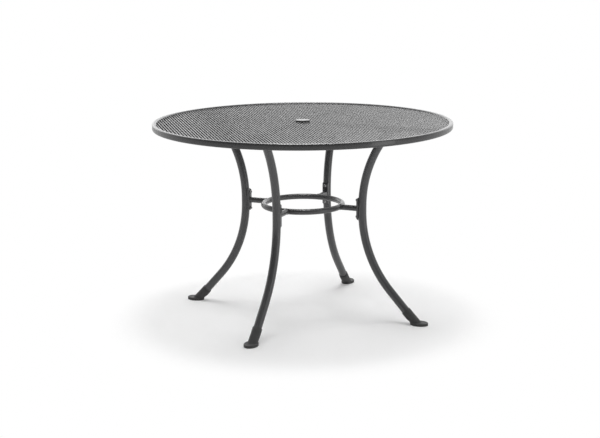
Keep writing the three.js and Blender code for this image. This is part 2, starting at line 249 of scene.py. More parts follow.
# %% Moulded plastic and plated steel
GRAIN_SCALE = 1500.0
FLOW_SCALE = 30.0
PLASTIC_SPREAD = 0.15
GRAIN_ROUGHNESS = 0.12
GRAIN_BUMP = 0.4
GRAIN_DEPTH = 0.00008
TUMBLE_SCALE = 3200.0
PLATING_SPREAD = 0.2
PLATING_METAL = 0.8
PLATING_SMOOTHEST = 0.25
PLATING_CLOUDING = 0.2
PLATING_BUMP = 0.2
PLATING_DEPTH = 0.00005


def moulded_plastic(name, level, roughness):
    finish = Finish(bpy.data.materials.new(name))
    grain = noise(finish, GRAIN_SCALE, detail=2.0)
    flow = noise(finish, FLOW_SCALE, detail=2.0)
    values = {
        "Base Color": mottled(finish, flow, level, PLASTIC_SPREAD),
        "Roughness": grain * GRAIN_ROUGHNESS + (roughness - GRAIN_ROUGHNESS / 2),
        "Normal": bumped(finish, grain, GRAIN_BUMP, GRAIN_DEPTH),
    }
    return surface(finish, values)


def plated_steel(name, level):
    finish = Finish(bpy.data.materials.new(name))
    tumbled = noise(finish, TUMBLE_SCALE, detail=1.0)
    values = {
        "Base Color": mottled(finish, tumbled, level, PLATING_SPREAD),
        "Metallic": PLATING_METAL,
        "Roughness": tumbled * PLATING_CLOUDING + PLATING_SMOOTHEST,
        "Normal": bumped(finish, tumbled, PLATING_BUMP, PLATING_DEPTH),
    }
    return surface(finish, values)


foot_plastic = moulded_plastic("foot_plastic", level=0.046, roughness=0.62)
lid_plastic = moulded_plastic("lid_plastic", level=0.05, roughness=0.28)
screw_plating = plated_steel("screw_plating", level=0.30)
print("plastic and plating", foot_plastic.name, lid_plastic.name, screw_plating.name)

# %% [markdown]
# Every piece below leaves its maker as a mesh of its own. It gets its finish, smooth shading with crisp
# edges and a body to ride on, and the plain solids that it stands for are hidden. What stands at all four
# corners is made once, along +X, and copied round.

# %% Finish a piece and hand it to the frame
CORNER_ANGLES = [math.radians(45 + 90 * corner) for corner in range(4)]
CRISP_ANGLE = math.radians(40)


def add_piece(name, shape, material, nodes, body="table"):
    mesh = bpy.data.meshes.new(name)
    shape.to_mesh(mesh)
    shape.free()
    mesh.shade_smooth()
    mesh.set_sharp_from_angle(angle=CRISP_ANGLE)
    mesh.materials.append(material)
    piece = bpy.data.objects.new(name, mesh)
    bpy.context.scene.collection.objects.link(piece)
    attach(piece, body)
    if nodes:
        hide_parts(*nodes)
    return piece


def at_corner(shape, corner):
    """A copy of a shape made along +X, turned to one of the four corners."""
    placed = shape.copy()
    turn = Matrix.Rotation(CORNER_ANGLES[corner], 3, "Z")
    bmesh.ops.rotate(placed, matrix=turn, verts=placed.verts)
    return placed


def add_four(name, shape, material, node=None):
    """One piece at each corner, numbered from 1 as the nodes are."""
    for corner in range(4):
        nodes = [f"{node}_{corner + 1}"] if node else []
        add_piece(f"{name}_{corner + 1}", at_corner(shape, corner), material, nodes)
    shape.free()


print("corners at", [round(math.degrees(angle)) for angle in CORNER_ANGLES])

# %% [markdown]
# Most pieces are either turned or swept. A turned one starts from its outline as a flat face, whose corners
# a vertex bevel can round, and is spun about Z. A swept one is a circle, grown ring by ring through a row
# of frames that say where each ring lies, how large it is and which way it faces. The rest are blocks.

# %% Turned and swept shapes
MERGE_DISTANCE = 1e-6
ON_AXIS = 1e-7
TURNED_STEPS = 96
SWEPT_SIDES = 32
ROUNDING_STEPS = 5
UP = Vector((0, 0, 1))


def only(kind, geometry):
    return [part for part in geometry if isinstance(part, kind)]


def whole(shape):
    return shape.verts[:] + shape.edges[:] + shape.faces[:]


def turns(count):
    """The angles of count steps round a circle."""
    return [2 * math.pi * step / count for step in range(count)]


def rounded(shape, geometry, radius, segments=ROUNDING_STEPS, affect="EDGES"):
    """Bevel edges or corners to a round. The operator's own defaults would leave them flat."""
    bmesh.ops.bevel(
        shape, geom=geometry, offset=radius, segments=segments, profile=0.5, affect=affect, material=-1
    )


def block(length, width, height):
    shape = bmesh.new()
    bmesh.ops.create_cube(shape, size=1.0)
    bmesh.ops.scale(shape, vec=(length, width, height), verts=shape.verts)
    return shape


def turned(outline, rounds, steps=TURNED_STEPS):
    """Spin an outline of (radius, height) points; rounds gives {corner number: radius}."""
    shape = bmesh.new()
    corners = [shape.verts.new((radius, 0, height)) for radius, height in outline]
    shape.faces.new(corners)
    for number, radius in rounds.items():
        rounded(shape, [corners[number]], radius, affect="VERTICES")
    bmesh.ops.delete(shape, geom=shape.faces[:], context="FACES_ONLY")
    on_axis = [edge for edge in shape.edges if all(abs(vert.co.x) < ON_AXIS for vert in edge.verts)]
    bmesh.ops.delete(shape, geom=on_axis, context="EDGES")
    bmesh.ops.spin(
        shape,
        geom=shape.verts[:] + shape.edges[:],
        cent=(0, 0, 0),
        axis=UP,
        angle=2 * math.pi,
        steps=steps,
        use_merge=True,
    )
    bmesh.ops.remove_doubles(shape, verts=shape.verts, dist=MERGE_DISTANCE)
    bmesh.ops.recalc_face_normals(shape, faces=shape.faces)
    return shape


def ring_frame(centre, across, side, width, depth):
    """A matrix that puts a unit circle at centre, width wide along across and depth along side."""
    facing = across.cross(side)
    rows = [across * width, side * depth, facing]
    return Matrix([(*row, 0.0) for row in rows] + [(*centre, 1.0)]).transposed()


def swept(frames, sides=SWEPT_SIDES, closed=False):
    """A tube through all the frames, closed on itself or with filled ends."""
    shape = bmesh.new()
    bmesh.ops.create_circle(shape, segments=sides, radius=1.0, matrix=frames[0])
    first = shape.edges[:]
    ring = first
    path = frames[1:] + (frames[:1] if closed else [])
    before = frames[0]
    for after in path:
        grown = bmesh.ops.extrude_edge_only(shape, edges=ring)["geom"]
        ring = only(bmesh.types.BMEdge, grown)
        moved = only(bmesh.types.BMVert, grown)
        bmesh.ops.transform(shape, matrix=after @ before.inverted(), verts=moved)
        before = after
    if closed:
        bmesh.ops.remove_doubles(shape, verts=shape.verts, dist=MERGE_DISTANCE)
    else:
        bmesh.ops.edgeloop_fill(shape, edges=first)
        bmesh.ops.edgeloop_fill(shape, edges=ring)
    bmesh.ops.recalc_face_normals(shape, faces=shape.faces)
    return shape


print("turned and swept shapes are ready")

# %% [markdown]
# The rim is a flat-oval tube rolled into a hoop. Its outline is a rectangle, spun round the table's middle.
# Its corners are rounded by about a third of its width, so its top catches a thin line of light all the way
# round, and its outer wall keeps a flat band below that line.

# %% Rim
RIM_WIDTH = 0.015
RIM_CORNER = 0.0048
RIM_STEPS = 256
rim_low, rim_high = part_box("rim_tube")
rim_outside = rim_high.x
rim_inside = rim_outside - RIM_WIDTH


def tube_outline(inside, outside, low, high):
    """The cut through a turned tube, from the top of its inner wall round to the top of its outer one."""
    return [(inside, high), (inside, low), (outside, low), (outside, high)]


def rim():
    outline = tube_outline(rim_inside, rim_outside, rim_low.z, rim_high.z)
    return turned(outline, dict.fromkeys(range(4), RIM_CORNER), steps=RIM_STEPS)


add_piece("rim_hoop", rim(), rim_coat, ["rim_tube"])
print("rim", round(rim_outside * 2, 4), "across, inside radius", round(rim_inside, 4))

# %% [markdown]
# Expanded metal is a sheet that was slit and pulled open. Its openings are diamonds, each row shifted by
# half a diamond. Its strands lean, and where two of them meet the metal steps down through a short bond.
# One diamond is made here as a frame of three loops: its outer edge, which runs along the middle of the
# strands, and two insets, which give the strands their slight crown and their rounded edge. The loops
# start as plain hexagons of any size, and a rule moves their corners to the sizes of the real mesh.

# %% One diamond of the sheet
DIAMOND_LONG = 0.024
DIAMOND_SHORT = 0.0111
DIAMOND_TURN = math.radians(57)
BOND_STEP = 0.0007
STRAND_WIDTH = 0.0030
STRAND_EDGE = 0.00012
STRAND_CROWN = 0.00004
STRAND_TILT = 0.0014
STRAND_THICKNESS = 0.0019
ROUGH_INSET = 0.2
NEAR_MIDDLE = 0.1


def diamond():
    """Three loops of six corners: one each at top and bottom, and two at either bond."""
    cell = bmesh.new()
    bmesh.ops.create_circle(cell, cap_ends=True, segments=6, radius=1.0)
    hole = cell.faces[:]
    loops = [hole[0].verts[:]]
    for loop in range(2):
        bmesh.ops.inset_individual(cell, faces=hole, thickness=ROUGH_INSET)
        loops.append(hole[0].verts[:])
    bmesh.ops.delete(cell, geom=hole, context="FACES_ONLY")
    slope = DIAMOND_SHORT / DIAMOND_LONG
    insets = (0, STRAND_WIDTH / 2 - STRAND_EDGE, STRAND_WIDTH / 2)
    drops = (0, STRAND_CROWN, STRAND_CROWN + STRAND_EDGE)
    for corners, inset, drop in zip(loops, insets, drops):
        step = BOND_STEP / 2 if inset else 0
        rise = STRAND_TILT / 2 if inset else 0
        lift = inset * math.hypot(1, slope)
        for vert in corners:
            side = math.copysign(1, vert.co.x)
            upper = math.copysign(1, vert.co.y)
            at_bond = abs(vert.co.x) > NEAR_MIDDLE
            if at_bond:
                vert.co.x = side * (DIAMOND_LONG / 2 - (lift + step) / slope)
                vert.co.y = upper * step
            else:
                vert.co.x = 0
                vert.co.y = upper * (DIAMOND_SHORT / 2 - lift)
            vert.co.z = upper * rise - drop
    return cell


print("diamond", DIAMOND_LONG, "by", DIAMOND_SHORT, "with strands", STRAND_WIDTH, "wide")

# %% [markdown]
# Doubling that one diamond again and again fills a rectangle in a few steps, where copying it one by one
# would take thousands. The rectangle is turned to the way the mesh runs on this table, and what lies
# outside the rim or inside the parasol hole is cut away.

# %% A disc of diamonds
ROW_DOUBLINGS = 7
COLUMN_DOUBLINGS = 6
SHEET_MERGE = 1e-5


def doubled(shape, step, times):
    """Copy everything a step further on, then both two steps further on, and so forth."""
    for doubling in range(times):
        copy = bmesh.ops.duplicate(shape, geom=whole(shape))["geom"]
        moved = only(bmesh.types.BMVert, copy)
        bmesh.ops.translate(shape, vec=Vector(step) * 2**doubling, verts=moved)


def disc_of_diamonds(inner, outer):
    shape = diamond()
    doubled(shape, (DIAMOND_LONG / 2, DIAMOND_SHORT / 2, 0), 1)
    doubled(shape, (0, DIAMOND_SHORT, 0), ROW_DOUBLINGS)
    doubled(shape, (DIAMOND_LONG, 0, 0), COLUMN_DOUBLINGS)
    middle = Vector((DIAMOND_LONG * 2**COLUMN_DOUBLINGS / 2, DIAMOND_SHORT * 2**ROW_DOUBLINGS / 2, 0))
    bmesh.ops.translate(shape, vec=-middle, verts=shape.verts)
    bmesh.ops.rotate(shape, matrix=Matrix.Rotation(DIAMOND_TURN, 3, "Z"), verts=shape.verts)
    unwanted = []
    for face in shape.faces:
        reaches = [vert.co.xy.length for vert in face.verts]
        if min(reaches) > outer or max(reaches) < inner:
            unwanted.append(face)
    bmesh.ops.delete(shape, geom=unwanted, context="FACES")
    bmesh.ops.remove_doubles(shape, verts=shape.verts, dist=SHEET_MERGE)
    return shape


print(2 ** (1 + ROW_DOUBLINGS + COLUMN_DOUBLINGS), "diamonds before the cut")

# %% [markdown]
# The sheet is crowned, highest in its middle, and welded into the rim. So the corners of the disc are
# lifted to the crown, those beyond the rim's inner wall are drawn in to the weld, and those in the parasol
# hole are drawn out to its edge. The disc is split into four panels that meet over the cross bars, which
# keeps each mesh small, and each panel gets its thickness from one extrusion.

# %% The sheet
sheet_low, sheet_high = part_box("mesh_top")
SHEET_CROWN = 0.002
SHEET_THICKNESS = 0.0025
WELD_IN = 0.0025
HOLE_RADIUS = 0.0222
sheet_edge_top = sheet_low.z + SHEET_THICKNESS


def sheet_top(radius):
    return sheet_edge_top + SHEET_CROWN * (1 - (radius / sheet_high.x) ** 2)


def sheet_panel(disc, start):
    """The quarter of the disc that begins at the angle start, made thick."""
    panel = disc.copy()
    outside = []
    for face in panel.faces:
        centre = face.calc_center_median()
        turn = (math.atan2(centre.y, centre.x) - start) % (2 * math.pi)
        if turn > math.pi / 2:
            outside.append(face)
    bmesh.ops.delete(panel, geom=outside, context="FACES")
    under = bmesh.ops.extrude_face_region(panel, geom=panel.faces[:], use_keep_orig=True)["geom"]
    bmesh.ops.translate(panel, vec=(0, 0, -STRAND_THICKNESS), verts=only(bmesh.types.BMVert, under))
    bmesh.ops.recalc_face_normals(panel, faces=panel.faces)
    return panel


def sheet():
    disc = disc_of_diamonds(HOLE_RADIUS, rim_inside)
    for vert in disc.verts:
        reach = vert.co.xy.length
        kept = min(max(reach, HOLE_RADIUS), rim_inside + WELD_IN)
        vert.co.x *= kept / reach
        vert.co.y *= kept / reach
        vert.co.z += sheet_top(kept)
    bmesh.ops.dissolve_degenerate(disc, dist=SHEET_MERGE, edges=disc.edges)
    for corner, start in enumerate(CORNER_ANGLES):
        nodes = ["mesh_top"] if corner == 0 else []
        panel = add_piece(f"sheet_panel_{corner + 1}", sheet_panel(disc, start), mesh_coat, nodes)
        print(panel.name, len(panel.data.polygons), "faces")
    disc.free()


sheet()

# %% [markdown]
# Each leg is one length of round tube, bent twice. At the waist it stands upright for a short way. Above
# and below that it bows outwards on the same radius, and near the floor it runs on straight. The frames
# of the sweep follow that line, so the tube stays perfectly round all the way.

# %% Leg line
LEG_TUBE = 0.030
WAIST_RADIUS = 0.2365
WAIST_STRAIGHT = 0.024
LEG_BEND = 0.430
LEG_SPLAY = math.radians(42)
LEG_END = 0.020
BEND_STEPS = 28
OUTWARDS = Vector((1, 0, 0))
SIDEWAYS = Vector((0, 1, 0))
ring_low, ring_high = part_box("stretcher_ring")
ring_height = (ring_low.z + ring_high.z) / 2
waist_low = ring_height - WAIST_STRAIGHT / 2
waist_high = ring_height + WAIST_STRAIGHT / 2
bend_centre = WAIST_RADIUS + LEG_BEND
bend_end = bend_centre - LEG_BEND * math.cos(LEG_SPLAY)
bend_end_height = waist_low - LEG_BEND * math.sin(LEG_SPLAY)
foot_radius = bend_end + bend_end_height * math.tan(LEG_SPLAY)


def upper_axis(height):
    """How far out the leg's middle line lies at a height above the waist."""
    return bend_centre - math.sqrt(LEG_BEND**2 - (height - waist_high) ** 2)


def lower_axis(height):
    """How far out it lies on the straight end near the floor."""
    return foot_radius - height * math.tan(LEG_SPLAY)


def leg_frames(low, high):
    """Frames up the leg's line from one height to the other, each as wide as the tube."""
    stations = [(lower_axis(low), low, -LEG_SPLAY)]
    for step in range(BEND_STEPS + 1):
        lean = LEG_SPLAY * (1 - step / BEND_STEPS)
        x = bend_centre - LEG_BEND * math.cos(lean)
        stations.append((x, waist_low - LEG_BEND * math.sin(lean), -lean))
    top_lean = math.asin((high - waist_high) / LEG_BEND)
    for step in range(BEND_STEPS + 1):
        lean = top_lean * step / BEND_STEPS
        x = bend_centre - LEG_BEND * math.cos(lean)
        stations.append((x, waist_high + LEG_BEND * math.sin(lean), lean))
    frames = []
    for x, z, lean in stations:
        across = Vector((math.cos(lean), 0, -math.sin(lean)))
        frames.append(ring_frame(Vector((x, 0, z)), across, SIDEWAYS, LEG_TUBE / 2, LEG_TUBE / 2))
    return frames


print("foot at", round(foot_radius, 4), "lower bend ends at height", round(bend_end_height, 4))

# %% [markdown]
# The leg's upper end is sawn level, to seat on the plate that is bolted under the cross bar. So the tube is
# swept a little too long, and a level plane cuts it where the plate lies. The cut is then closed.

# %% Legs
plate_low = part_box("head_plate_1")[0]
FIT = 0.0003


def leg():
    shape = swept(leg_frames(LEG_END, plate_low.z + LEG_TUBE))
    cut = (0, 0, plate_low.z)
    bmesh.ops.bisect_plane(shape, geom=whole(shape), plane_co=cut, plane_no=UP, clear_outer=True)
    open_edges = [edge for edge in shape.edges if edge.is_boundary]
    bmesh.ops.edgeloop_fill(shape, edges=open_edges)
    bmesh.ops.recalc_face_normals(shape, faces=shape.faces)
    return shape


add_four("leg_tube", leg(), tube_coat, "leg")
print("legs end at height", round(plate_low.z, 4))

# %% [markdown]
# Each foot is one moulding: a sleeve that grips the leg and spreads into a long flat plate, which lies
# along the leg's lean. The plate has a raised lip round its edge. Inside the lip a groove runs round the
# neck, which turns outwards over the plate. The foot is swept too, from the outline on the floor upwards.
# Its rings start as flat ovals, shrink and shift at the neck, and tilt until they stand square to the leg.
# The last ones fold into the sleeve's mouth.

# %% Foot caps
FOOT_LENGTH = 0.067
FOOT_WIDTH = 0.049
FOOT_REACH = 0.008
HEEL_ROUND = 0.0012
LIP_ROUND = 0.0024
LIP_STEPS = 6
LIP_HEIGHT = 0.0102
SLEEVE_WALL = 0.0025
SLEEVE_LENGTH = 0.066
MOUTH_ROUND = 0.0010
MOUTH_EASE = 0.0003
MOUTH_DEPTH = 0.010
NECK_SHIFT = 0.003
FOOT_SIDES = 64
# The groove's rings as (inset from the outline, depth under the lip), from the lip inwards.
GROOVE = ((0.0042, 0.0), (0.0054, 0.0004), (0.0066, 0.0014))
# The neck's rings as (spread of the sleeve, height over the lip), from the groove upwards.
NECK = ((0.0010, -0.0010), (0.0004, 0.0004), (0.0001, 0.0022))
# How far along the leg the first rings lie that stand square to it.
SLEEVE_RINGS = (0.040, 0.050)
sleeve_radius = LEG_TUBE / 2 + SLEEVE_WALL
sleeve_bore = LEG_TUBE / 2 + FIT


def flat_oval(inset, height):
    centre = Vector((foot_radius + FOOT_REACH, 0, height))
    return ring_frame(centre, OUTWARDS, SIDEWAYS, FOOT_LENGTH / 2 - inset, FOOT_WIDTH / 2 - inset)


def neck_oval(spread, height):
    """The sleeve cut level, turned outwards over the foot and wider by the spread."""
    centre = Vector((lower_axis(height) + NECK_SHIFT, 0, height))
    width = sleeve_radius / math.cos(LEG_SPLAY) - NECK_SHIFT / 3 + spread
    return ring_frame(centre, OUTWARDS, SIDEWAYS, width, sleeve_radius + spread)


def sleeve_ring(along, radius):
    centre = Vector((foot_radius - along * math.sin(LEG_SPLAY), 0, along * math.cos(LEG_SPLAY)))
    across = Vector((math.cos(LEG_SPLAY), 0, math.sin(LEG_SPLAY)))
    return ring_frame(centre, across, SIDEWAYS, radius, radius)


def foot_cap():
    frames = [flat_oval(HEEL_ROUND, 0), flat_oval(HEEL_ROUND / 4, HEEL_ROUND / 4), flat_oval(0, HEEL_ROUND)]
    for step in range(LIP_STEPS + 1):
        turn = math.pi / 2 * step / LIP_STEPS
        inset, depth = LIP_ROUND * (1 - math.cos(turn)), LIP_ROUND * (1 - math.sin(turn))
        frames.append(flat_oval(inset, LIP_HEIGHT - depth))
    frames += [flat_oval(inset, LIP_HEIGHT - depth) for inset, depth in GROOVE]
    frames += [neck_oval(spread, LIP_HEIGHT + height) for spread, height in NECK]
    frames += [sleeve_ring(along, sleeve_radius) for along in (*SLEEVE_RINGS, SLEEVE_LENGTH - MOUTH_ROUND)]
    frames += [sleeve_ring(SLEEVE_LENGTH - MOUTH_EASE, sleeve_radius - MOUTH_EASE)]
    frames += [sleeve_ring(SLEEVE_LENGTH, radius) for radius in (sleeve_radius - MOUTH_ROUND, sleeve_bore)]
    frames += [sleeve_ring(SLEEVE_LENGTH - MOUTH_DEPTH, sleeve_bore)]
    return swept(frames, sides=FOOT_SIDES)


add_four("foot", foot_cap(), foot_plastic, "foot_cap")
print("feet", FOOT_LENGTH, "long and", FOOT_WIDTH, "wide")

# %% [markdown]
# The stretcher ring is a rolled tube. A spoke runs from it to each leg. Its inner end is coped, which means
# cut to the saddle that the ring's round surface needs, and the joint is closed with a weld. The spoke is
# swept as a plain tube first. The corners of its inner end then slide along it to the ring's surface.

# %% Stretcher ring and spokes
BRACKET_STANDOFF = 0.0055
SADDLE_GAP = 0.0001
RING_STEPS = 144
RING_SIDES = 28
SPOKE_SHARE = 0.98
ring_tube = (ring_high.z - ring_low.z) / 2
ring_radius = ring_high.x - ring_tube
spoke_tube = ring_tube * SPOKE_SHARE
bracket_face = WAIST_RADIUS - LEG_TUBE / 2 - BRACKET_STANDOFF


def stretcher_ring():
    frames = []
    for turn in turns(RING_STEPS):
        outward = Vector((math.cos(turn), math.sin(turn), 0))
        centre = outward * ring_radius + UP * ring_height
        frames.append(ring_frame(centre, outward, UP, ring_tube, ring_tube))
    return swept(frames, sides=RING_SIDES, closed=True)


def saddle(side, rise):
    """How far out the ring's surface lies, beside and above the spoke's line."""
    hoop = ring_radius + math.sqrt(max(ring_tube**2 - rise**2, 0))
    return math.sqrt(hoop**2 - side**2)


def spoke():
    inner = ring_radius + ring_tube
    ends = [Vector((x, 0, ring_height)) for x in (inner, bracket_face)]
    shape = swept([ring_frame(end, SIDEWAYS, UP, spoke_tube, spoke_tube) for end in ends])
    for vert in shape.verts:
        if vert.co.x < inner + ring_tube / 2:
            vert.co.x = saddle(vert.co.y, vert.co.z - ring_height) + SADDLE_GAP
    return shape


add_piece("stretcher_hoop", stretcher_ring(), tube_coat, ["stretcher_ring"])
add_four("spoke_tube", spoke(), tube_coat, "spoke")
print("ring", round(ring_radius * 2, 4), "across its middle, at height", round(ring_height, 4))

# %% [markdown]
# A weld is a row of small overlapping ripples. Here it is a thin closed sweep along the joint, whose
# thickness rises and falls from one ring to the next. The same maker serves both ends of the spokes and the
# tops of the legs.

# %% Welds
SMALL_BEAD = 0.0014
LARGE_BEAD = 0.0016
BEAD_RIPPLE = 0.14
BEAD_SIDES = 8
SPOKE_RIPPLES = 52
HEAD_RIPPLES = 76
RING_BEAD_OUT = 0.0006


def weld_bead(route, thickness, facing):
    """A rippled bead along a closed route of points."""
    frames = []
    for step, point in enumerate(route):
        ahead = route[(step + 1) % len(route)] - route[step - 1]
        side = facing.cross(ahead).normalized()
        up = ahead.cross(side).normalized()
        swell = thickness * (1 + BEAD_RIPPLE * math.cos(math.pi * step))
        frames.append(ring_frame(point, side, up, swell, swell))
    return swept(frames, sides=BEAD_SIDES, closed=True)


def ring_weld():
    """The bead on the saddle between a spoke and the ring."""
    route = []
    for turn in turns(SPOKE_RIPPLES):
        side, rise = spoke_tube * math.cos(turn), spoke_tube * math.sin(turn)
        route.append(Vector((saddle(side, rise) + RING_BEAD_OUT, side, ring_height + rise)))
    return weld_bead(route, SMALL_BEAD, OUTWARDS)


def bracket_weld():
    """The bead on the flat face between a spoke and its bracket."""
    route = []
    for turn in turns(SPOKE_RIPPLES):
        side, rise = ring_tube * math.cos(turn), ring_tube * math.sin(turn)
        route.append(Vector((bracket_face, side, ring_height + rise)))
    return weld_bead(route, SMALL_BEAD, OUTWARDS)


def head_weld():
    """The bead round the leg's level cut, which is an oval because the leg leans there."""
    route = []
    lean = math.asin((plate_low.z - waist_high) / LEG_BEND)
    for turn in turns(HEAD_RIPPLES):
        out = upper_axis(plate_low.z) + LEG_TUBE / 2 / math.cos(lean) * math.cos(turn)
        route.append(Vector((out, LEG_TUBE / 2 * math.sin(turn), plate_low.z)))
    return weld_bead(route, LARGE_BEAD, UP)


add_four("ring_weld", ring_weld(), tube_coat)
add_four("bracket_weld", bracket_weld(), tube_coat)
add_four("head_weld", head_weld(), tube_coat)
print("12 welds")

# %% [markdown]
# The leg brackets are pressed from strip: a web with two flanges that seat on the round leg. A block is
# opened on three sides, its long corners are rounded with a bevel, its ends are slanted, and it is given
# its wall with solidify.

# %% Leg brackets
BRACKET_WIDTH = 0.023
BRACKET_WALL = 0.0025
BRACKET_SLANT = 0.006
BRACKET_BEND = 0.0024
bracket_low, bracket_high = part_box("leg_bracket_1")
bracket_length = bracket_high.z - bracket_low.z
bracket_back = WAIST_RADIUS - math.sqrt((LEG_TUBE / 2) ** 2 - (BRACKET_WIDTH / 2 - BRACKET_WALL) ** 2)


def bracket():
    depth = bracket_back - bracket_face
    shape = block(depth, BRACKET_WIDTH, bracket_length)
    ends = [face for face in shape.faces if abs(face.normal.z) > 0.5 or face.normal.x > 0.5]
    bmesh.ops.delete(shape, geom=ends, context="FACES")
    rounded(shape, [edge for edge in shape.edges if len(edge.link_faces) == 2], BRACKET_BEND)
    for vert in shape.verts:
        towards_face = 0.5 - vert.co.x / depth
        vert.co.z -= math.copysign(BRACKET_SLANT * towards_face, vert.co.z)
    bmesh.ops.translate(shape, vec=(bracket_face + depth / 2, 0, ring_height), verts=shape.verts)
    bmesh.ops.recalc_face_normals(shape, faces=shape.faces)
    web = max(shape.faces, key=lambda face: abs(face.normal.x) * face.calc_area())
    if web.normal.x > 0:
        bmesh.ops.reverse_faces(shape, faces=shape.faces)
    bmesh.ops.solidify(shape, geom=shape.faces[:], thickness=BRACKET_WALL)
    return shape


add_four("bracket", bracket(), tube_coat, "leg_bracket")
print("brackets", round(bracket_length, 4), "tall")

# %% [markdown]
# Button-head screws have a low dome with a hexagon socket. The dome is a row of shrinking rings. At its top
# the ring turns into a hexagon, which then sinks into the head.

# %% Bracket screws
SCREW_SPACING = 0.062
SCREW_HEAD = 0.011
SCREW_HEAD_HEIGHT = 0.005
SCREW_SIDES = 36
HEAD_RIM = 0.0012
DOME_STEPS = 6
DOME_TURN = math.radians(13)
DOME_DRAW = 0.42
SOCKET_WIDTH = 0.004
SOCKET_DEPTH = 0.0024
SOCKET_BORDER = 1.25


def grown_ring(shape, ring, width, height):
    """Extrude a ring of edges to a height. The width says how far out it lies at each angle."""
    grown = bmesh.ops.extrude_edge_only(shape, edges=ring)["geom"]
    for vert in only(bmesh.types.BMVert, grown):
        turn = math.atan2(vert.co.y, vert.co.x)
        vert.co.xy = vert.co.xy.normalized() * width(turn)
        vert.co.z = height
    return only(bmesh.types.BMEdge, grown)


def hexagon(turn):
    """How far out a hexagon as wide as the socket lies at an angle."""
    sector = turn % (math.pi / 3) - math.pi / 6
    return SOCKET_WIDTH / 2 / math.cos(sector)


def button_head():
    """A screw head that looks along -X, with its seat at the origin."""
    radius = SCREW_HEAD / 2
    shape = bmesh.new()
    bmesh.ops.create_circle(shape, segments=SCREW_SIDES, radius=radius)
    base = shape.edges[:]
    rings = [(radius, HEAD_RIM)]
    for step in range(1, DOME_STEPS + 1):
        rise = math.sin(DOME_TURN * step)
        width = radius * (1 - DOME_DRAW * rise**2)
        rings.append((width, HEAD_RIM + (SCREW_HEAD_HEIGHT - HEAD_RIM) * rise))
    rings.append((SOCKET_WIDTH / 2 * SOCKET_BORDER, SCREW_HEAD_HEIGHT))
    ring = base
    for width, height in rings:
        ring = grown_ring(shape, ring, lambda turn: width, height)
    for height in (SCREW_HEAD_HEIGHT, SCREW_HEAD_HEIGHT - SOCKET_DEPTH):
        ring = grown_ring(shape, ring, hexagon, height)
    bmesh.ops.edgeloop_fill(shape, edges=ring)
    bmesh.ops.edgeloop_fill(shape, edges=base)
    bmesh.ops.recalc_face_normals(shape, faces=shape.faces)
    bmesh.ops.rotate(shape, matrix=Matrix.Rotation(-math.pi / 2, 3, "Y"), verts=shape.verts)
    return shape


for corner in range(4):
    for letter, side in (("a", 0.5), ("b", -0.5)):
        screw = button_head()
        seat = (bracket_face - FIT, 0, ring_height + side * SCREW_SPACING)
        bmesh.ops.translate(screw, vec=seat, verts=screw.verts)
        name = f"screw_{corner + 1}{letter}"
        add_piece(f"socket_{name}", at_corner(screw, corner), screw_plating, [f"bracket_{name}"])
        screw.free()
print("8 socket screws")

# %% [markdown]
# The lid and the bush are turned. The bush is a flanged ring in the middle of the sheet, and the lid is a
# low disc with a skirt that drops into it. The lid is the one loose piece, so it rides on a body of its
# own.

# %% Bush and lid
bush_low, bush_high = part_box("parasol_bush")
lid_low, lid_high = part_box("parasol_lid")
BUSH_BORE = 0.038
BUSH_WALL = 0.0025
BUSH_FLANGE = 0.0022
LID_THICKNESS = 0.003
LID_PLAY = 0.0004
LID_WALL = 0.002
LID_DOME = 0.0006
LID_FLAT = 0.8
# The corners of each outline that are rounded, by their numbers, and how much.
BUSH_ROUNDS = {0: 0.0005, 2: 0.0012, 4: 0.0003, 5: 0.0008}
LID_ROUNDS = {3: 0.0004, 4: 0.0008, 6: 0.0004, 7: 0.0014}


def bush():
    bore, flange = BUSH_BORE / 2, bush_high.x
    skirt, seat = bore + BUSH_WALL, bush_high.z - BUSH_FLANGE
    outline = [
        (bore, bush_high.z),
        (bore, bush_low.z),
        (skirt, bush_low.z),
        (skirt, seat),
        (flange, seat),
        (flange, bush_high.z),
    ]
    return turned(outline, BUSH_ROUNDS)


def lid():
    skirt, seat = BUSH_BORE / 2 - LID_PLAY, lid_high.z - LID_THICKNESS
    outline = [
        (0, lid_high.z),
        (0, seat),
        (skirt - LID_WALL, seat),
        (skirt - LID_WALL, lid_low.z),
        (skirt, lid_low.z),
        (skirt, seat),
        (lid_high.x, seat),
        (lid_high.x, lid_high.z - LID_DOME),
        (lid_high.x * LID_FLAT, lid_high.z),
    ]
    return turned(outline, LID_ROUNDS)


add_piece("bush_ring", bush(), foot_plastic, ["parasol_bush"])
add_piece("hole_lid", lid(), lid_plastic, ["parasol_lid"], body="lid")
print("lid", round(lid_high.x * 2, 4), "across")

# %% [markdown]
# Under the sheet four cross bars run from a short collar to the rim. They follow the crown of the sheet.
# Each one is a block with its long edges rounded, which is cut across a few times so that it can bend.

# %% Cross bars and collar
BRACE_WIDTH = 0.025
BRACE_DEPTH = 0.012
BRACE_ROUND = 0.0022
BRACE_ROUND_STEPS = 4
BRACE_PARTS = 12
BRACE_GAP = 0.0004
COLLAR_WALL = 0.0025
COLLAR_ROUND = 0.0005
collar_low, collar_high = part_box("pole_collar")
brace_start = collar_high.x + FIT
brace_end = rim_inside - BRACE_GAP


